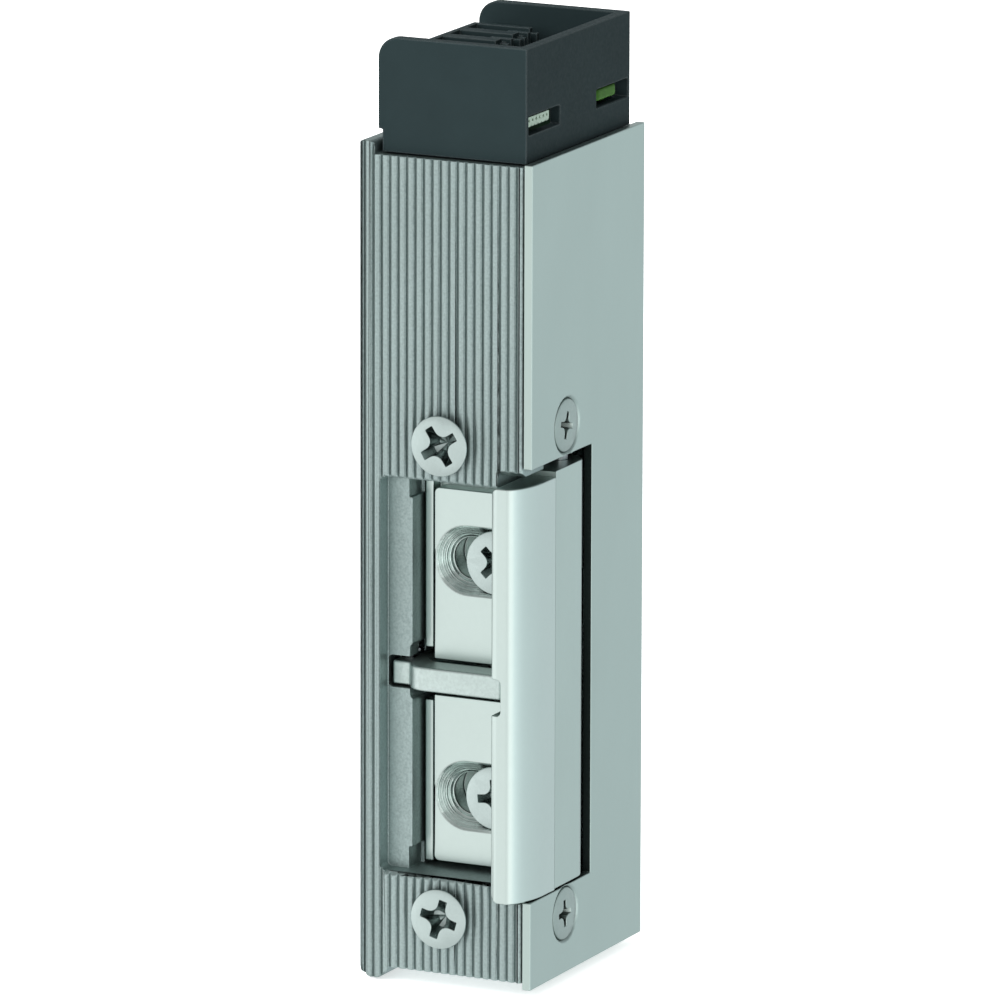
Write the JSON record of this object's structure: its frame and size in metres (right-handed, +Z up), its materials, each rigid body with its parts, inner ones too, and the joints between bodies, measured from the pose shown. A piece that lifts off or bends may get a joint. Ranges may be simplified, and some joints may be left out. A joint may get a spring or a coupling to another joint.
{
  "type": "electric door strike",
  "caption": "Narrow electric door strike: ribbed metal case, hinged keeper with an adjustable slotted insert, latch contact lever, magnet lock, and terminals in a black housing.",
  "frame": {"origin": "midway between the two faceplate screws, in the plane of the rib crests that seat against the faceplate", "axes": "+Z up along the case, towards the terminals; -Y out of the ribbed front, towards the faceplate; +X towards the side the keeper opens to"},
  "size_m": [0.0207, 0.03, 0.1033],
  "materials": {
    "case_casting": "satin, fine cast grain",
    "cover_sheet": "satin sheet",
    "keeper_metal": "satin nickel",
    "lever_cast": "tumbled cast",
    "screw_steel": "zinc plated",
    "pin_steel": "ground",
    "spring_steel": "drawn wire",
    "magnet_iron": "soft iron, zinc plated",
    "black_plastic": "moulded, satin",
    "white_plastic": "moulded",
    "copper_wire": "enamelled wire",
    "clamp_brass": "turned",
    "tinned_metal": "tinned",
    "board_green": "lacquered board",
    "varistor_green": "dipped coating"
  },
  "bodies": {
    "case": {"housing": "case_casting", "cover_plate": "cover_sheet", "cover_screw_upper": "screw_steel", "cover_screw_lower": "screw_steel", "faceplate_screw_upper": "screw_steel", "faceplate_screw_lower": "screw_steel", "keeper_pin": "pin_steel", "keeper_spring": "spring_steel", "latch_lever_pin": "pin_steel", "latch_lever_spring": "spring_steel", "switch_body": "black_plastic", "locking_lever_pin": "pin_steel", "locking_lever_spring": "spring_steel", "armature_pin": "pin_steel", "armature_spring": "spring_steel", "coil_core": "magnet_iron", "coil_yoke": "magnet_iron", "coil_bobbin": "white_plastic", "coil_winding": "copper_wire", "terminal_housing": "black_plastic", "terminal_block_coil": "black_plastic", "terminal_block_switch": "black_plastic", "clamp_screw_1": "clamp_brass", "clamp_screw_2": "clamp_brass", "clamp_screw_3": "clamp_brass", "clamp_screw_4": "clamp_brass", "clamp_screw_5": "clamp_brass", "wire_clamp_1": "tinned_metal", "wire_clamp_2": "tinned_metal", "wire_clamp_3": "tinned_metal", "wire_clamp_4": "tinned_metal", "wire_clamp_5": "tinned_metal", "circuit_board": "board_green", "varistor": "varistor_green", "contact_strip": "tinned_metal"},
    "keeper": {"keeper_base": "keeper_metal", "adjusting_screw_upper": "screw_steel", "adjusting_screw_lower": "screw_steel"},
    "insert": {"keeper_insert": "keeper_metal"},
    "latch_contact": {"latch_lever": "lever_cast"},
    "plunger": {"switch_plunger": "white_plastic"},
    "lock": {"locking_lever": "pin_steel"},
    "armature": {"armature": "magnet_iron"}
  },
  "joints": [
    {"name": "keeper_hinge", "type": "hinge", "parent": "case", "child": "keeper", "pos_m": [0.00795, 0.012, 0], "axis": [0, 0, 1], "range_deg": [0, 45], "stiffness_Nm_per_rad": 0.01, "springref_deg": -28.65},
    {"name": "insert_adjust", "type": "slide", "parent": "keeper", "child": "insert", "axis": [1, 0, 0], "range_m": [0, 0.002]},
    {"name": "latch_lever_hinge", "type": "hinge", "parent": "case", "child": "latch_contact", "pos_m": [-0.0065, 0.0049, -0.0001], "axis": [0, 0, 1], "range_deg": [0, 10], "stiffness_Nm_per_rad": 0.003, "springref_deg": -17.19},
    {"name": "plunger_slide", "type": "slide", "parent": "case", "child": "plunger", "axis": [1, 0, 0], "range_m": [-0.00091, 0]},
    {"name": "locking_lever_hinge", "type": "hinge", "parent": "case", "child": "lock", "pos_m": [0.00455, 0.01655, 0.0279], "axis": [0, 1, 0], "range_deg": [0, 10.85], "deforming": ["locking_lever_spring"]},
    {"name": "armature_hinge", "type": "hinge", "parent": "case", "child": "armature", "pos_m": [0, 0.0039, 0.0361], "axis": [1, 0, 0], "range_deg": [0, 8.6], "deforming": ["armature_spring"]}
  ],
  "couplings": [
    {"joint": "plunger_slide", "follows": "latch_lever_hinge", "m_per_rad": -0.0051566},
    {"joint": "locking_lever_hinge", "follows": "keeper_hinge", "ratio": 0.24},
    {"joint": "armature_hinge", "follows": "keeper_hinge", "ratio": 0.19}
  ]
}
